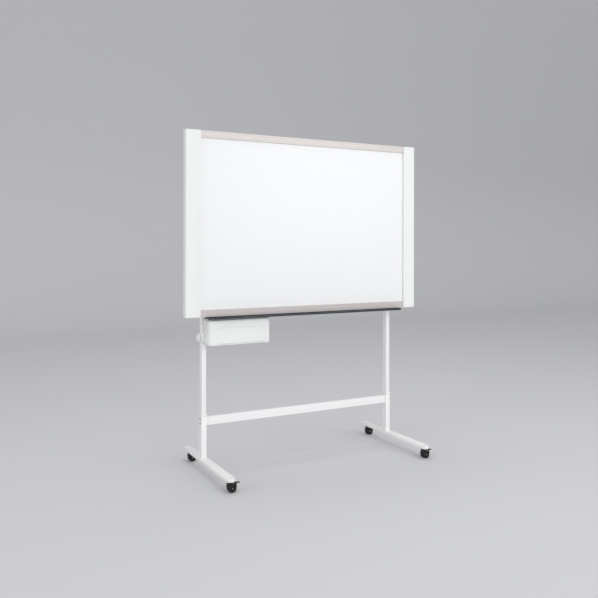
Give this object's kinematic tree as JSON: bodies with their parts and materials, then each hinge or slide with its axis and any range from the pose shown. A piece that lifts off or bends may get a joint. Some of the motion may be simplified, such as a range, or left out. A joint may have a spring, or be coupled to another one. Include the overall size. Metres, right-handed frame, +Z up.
{
  "type": "copyboard",
  "caption": "Wide white board with a scrolling sheet between end covers, silver rails, dark pen tray and a clamped printer, on a post stand with casters.",
  "frame": {"origin": "on the floor, midway between the two feet and midway along them", "axes": "+Z up, +X to the right of someone facing the board, +Y from the writing side to the back"},
  "size_m": [1.465, 0.6498, 1.812],
  "materials": {
    "painted_steel": "white powder coat, satin",
    "white_plastic": "fine moulded texture",
    "grey_plastic": "moulded",
    "black_plastic": "moulded",
    "tray_plastic": "glossy blue-black",
    "rail_metal": "warm silver anodised",
    "bright_steel": "zinc plated",
    "sheet_film": "smooth satin film",
    "core_plastic": "extruded",
    "roller_metal": "turned",
    "circuit": "solder mask",
    "bush_plastic": "acetal",
    "rubber": "matt",
    "paper": "smooth thermal paper"
  },
  "bodies": {
    "stand": {"left_foot": "painted_steel", "right_foot": "painted_steel", "foot_end_caps": "white_plastic", "caster_sockets": "grey_plastic", "left_lower_post": "painted_steel", "right_lower_post": "painted_steel", "post_collars": "white_plastic", "stand_screws": "bright_steel", "crossbar": "painted_steel", "crossbar_plugs": "painted_steel"},
    "board": {"left_upper_post": "painted_steel", "right_upper_post": "painted_steel", "upper_post_caps": "white_plastic", "rear_rails": "painted_steel", "post_brackets": "painted_steel", "board_screws": "bright_steel", "top_rail": "rail_metal", "bottom_rail": "rail_metal", "left_side_cover": "white_plastic", "right_side_cover": "white_plastic", "corner_blocks": "grey_plastic", "roller_bushes": "bush_plastic", "writing_sheet": "sheet_film", "core_panel": "core_plastic", "back_panel": "painted_steel", "image_sensor": "black_plastic", "drive_motor": "bright_steel", "control_bezel": "grey_plastic", "circuit_boards": "circuit", "power_inlet": "black_plastic", "pen_tray": "tray_plastic", "printer_clamp": "white_plastic", "printer_case": "white_plastic", "printer_chassis": "bright_steel", "print_head": "black_plastic", "feed_motor": "bright_steel"},
    "drive_roller": {"drive_roller": "roller_metal", "drive_gear": "bush_plastic"},
    "idler_roller": {"idler_roller": "roller_metal"},
    "motor_pinion": {"motor_pinion": "bush_plastic"},
    "button_1": {"button_1": "grey_plastic"},
    "button_2": {"button_2": "grey_plastic"},
    "button_3": {"button_3": "grey_plastic"},
    "button_4": {"button_4": "grey_plastic"},
    "power_rocker": {"power_rocker": "black_plastic"},
    "printer_door": {"printer_door": "white_plastic"},
    "platen": {"platen_roller": "rubber", "feed_gear": "bush_plastic"},
    "paper_roll": {"paper_roll": "paper"},
    "clamp_knob": {"clamp_knob": "white_plastic"},
    "front_left_caster": {"front_left_caster_fork": "black_plastic"},
    "front_left_wheels": {"front_left_wheels": "black_plastic"},
    "front_left_brake": {"front_left_brake_lever": "grey_plastic"},
    "front_right_caster": {"front_right_caster_fork": "black_plastic"},
    "front_right_wheels": {"front_right_wheels": "black_plastic"},
    "front_right_brake": {"front_right_brake_lever": "grey_plastic"},
    "rear_left_caster": {"rear_left_caster_fork": "black_plastic"},
    "rear_left_wheels": {"rear_left_wheels": "black_plastic"},
    "rear_right_caster": {"rear_right_caster_fork": "black_plastic"},
    "rear_right_wheels": {"rear_right_wheels": "black_plastic"}
  },
  "joints": [
    {"name": "board_height", "type": "slide", "parent": "stand", "child": "board", "axis": [0, 0, 1], "range_m": [-0.04, 0.1]},
    {"name": "drive_roller_spin", "type": "hinge", "parent": "board", "child": "drive_roller", "pos_m": [0.695, -0.0083, 0.858], "axis": [0, 0, 1], "continuous": true},
    {"name": "idler_roller_spin", "type": "hinge", "parent": "board", "child": "idler_roller", "pos_m": [-0.695, -0.0083, 0.858], "axis": [0, 0, 1], "continuous": true},
    {"name": "motor_pinion_spin", "type": "hinge", "parent": "board", "child": "motor_pinion", "pos_m": [0.71765, -0.0083, 0.858], "axis": [0, 0, 1], "continuous": true},
    {"name": "button_1_press", "type": "slide", "parent": "board", "child": "button_1", "axis": [-1, 0, 0], "range_m": [0, 0.0008], "stiffness_N_per_m": 300},
    {"name": "button_2_press", "type": "slide", "parent": "board", "child": "button_2", "axis": [-1, 0, 0], "range_m": [0, 0.0008], "stiffness_N_per_m": 300},
    {"name": "button_3_press", "type": "slide", "parent": "board", "child": "button_3", "axis": [-1, 0, 0], "range_m": [0, 0.0008], "stiffness_N_per_m": 300},
    {"name": "button_4_press", "type": "slide", "parent": "board", "child": "button_4", "axis": [-1, 0, 0], "range_m": [0, 0.0008], "stiffness_N_per_m": 300},
    {"name": "power_rocker_tilt", "type": "hinge", "parent": "board", "child": "power_rocker", "pos_m": [0.7255, -0.01, 0.984], "axis": [0, 1, 0], "range_deg": [-8, 8]},
    {"name": "printer_door_hinge", "type": "hinge", "parent": "board", "child": "printer_door", "pos_m": [-0.412, -0.0215, 0.6944], "axis": [1, 0, 0], "range_deg": [0, 90]},
    {"name": "paper_roll_spin", "type": "hinge", "parent": "board", "child": "paper_roll", "pos_m": [-0.412, 0.025, 0.72], "axis": [1, 0, 0], "continuous": true},
    {"name": "platen_spin", "type": "hinge", "parent": "board", "child": "platen", "pos_m": [-0.412, -0.01, 0.772], "axis": [1, 0, 0], "continuous": true},
    {"name": "clamp_knob_turn", "type": "hinge", "parent": "board", "child": "clamp_knob", "pos_m": [-0.6175, 0.0765, 0.719], "axis": [-1, 0, 0], "range_deg": [0, 360]},
    {"name": "front_left_swivel", "type": "hinge", "parent": "stand", "child": "front_left_caster", "pos_m": [-0.5975, -0.285, 0.059], "axis": [0, 0, 1], "continuous": true},
    {"name": "front_left_wheel_spin", "type": "hinge", "parent": "front_left_caster", "child": "front_left_wheels", "pos_m": [-0.5835, -0.285, 0.021], "axis": [0, 1, 0], "continuous": true},
    {"name": "front_left_brake_tilt", "type": "hinge", "parent": "front_left_caster", "child": "front_left_brake", "pos_m": [-0.5637, -0.285, 0.0438], "axis": [0, 1, 0], "range_deg": [0, 18]},
    {"name": "front_right_swivel", "type": "hinge", "parent": "stand", "child": "front_right_caster", "pos_m": [0.5975, -0.285, 0.059], "axis": [0, 0, 1], "continuous": true},
    {"name": "front_right_wheel_spin", "type": "hinge", "parent": "front_right_caster", "child": "front_right_wheels", "pos_m": [0.6115, -0.285, 0.021], "axis": [0, 1, 0], "continuous": true},
    {"name": "front_right_brake_tilt", "type": "hinge", "parent": "front_right_caster", "child": "front_right_brake", "pos_m": [0.6313, -0.285, 0.0438], "axis": [0, 1, 0], "range_deg": [0, 18]},
    {"name": "rear_left_swivel", "type": "hinge", "parent": "stand", "child": "rear_left_caster", "pos_m": [-0.5975, 0.285, 0.059], "axis": [0, 0, 1], "continuous": true},
    {"name": "rear_left_wheel_spin", "type": "hinge", "parent": "rear_left_caster", "child": "rear_left_wheels", "pos_m": [-0.5835, 0.285, 0.021], "axis": [0, 1, 0], "continuous": true},
    {"name": "rear_right_swivel", "type": "hinge", "parent": "stand", "child": "rear_right_caster", "pos_m": [0.5975, 0.285, 0.059], "axis": [0, 0, 1], "continuous": true},
    {"name": "rear_right_wheel_spin", "type": "hinge", "parent": "rear_right_caster", "child": "rear_right_wheels", "pos_m": [0.6115, 0.285, 0.021], "axis": [0, 1, 0], "continuous": true}
  ],
  "couplings": [
    {"joint": "idler_roller_spin", "follows": "drive_roller_spin", "ratio": 1},
    {"joint": "motor_pinion_spin", "follows": "drive_roller_spin", "ratio": -1.6471},
    {"joint": "platen_spin", "follows": "paper_roll_spin", "ratio": -3.25}
  ]
}
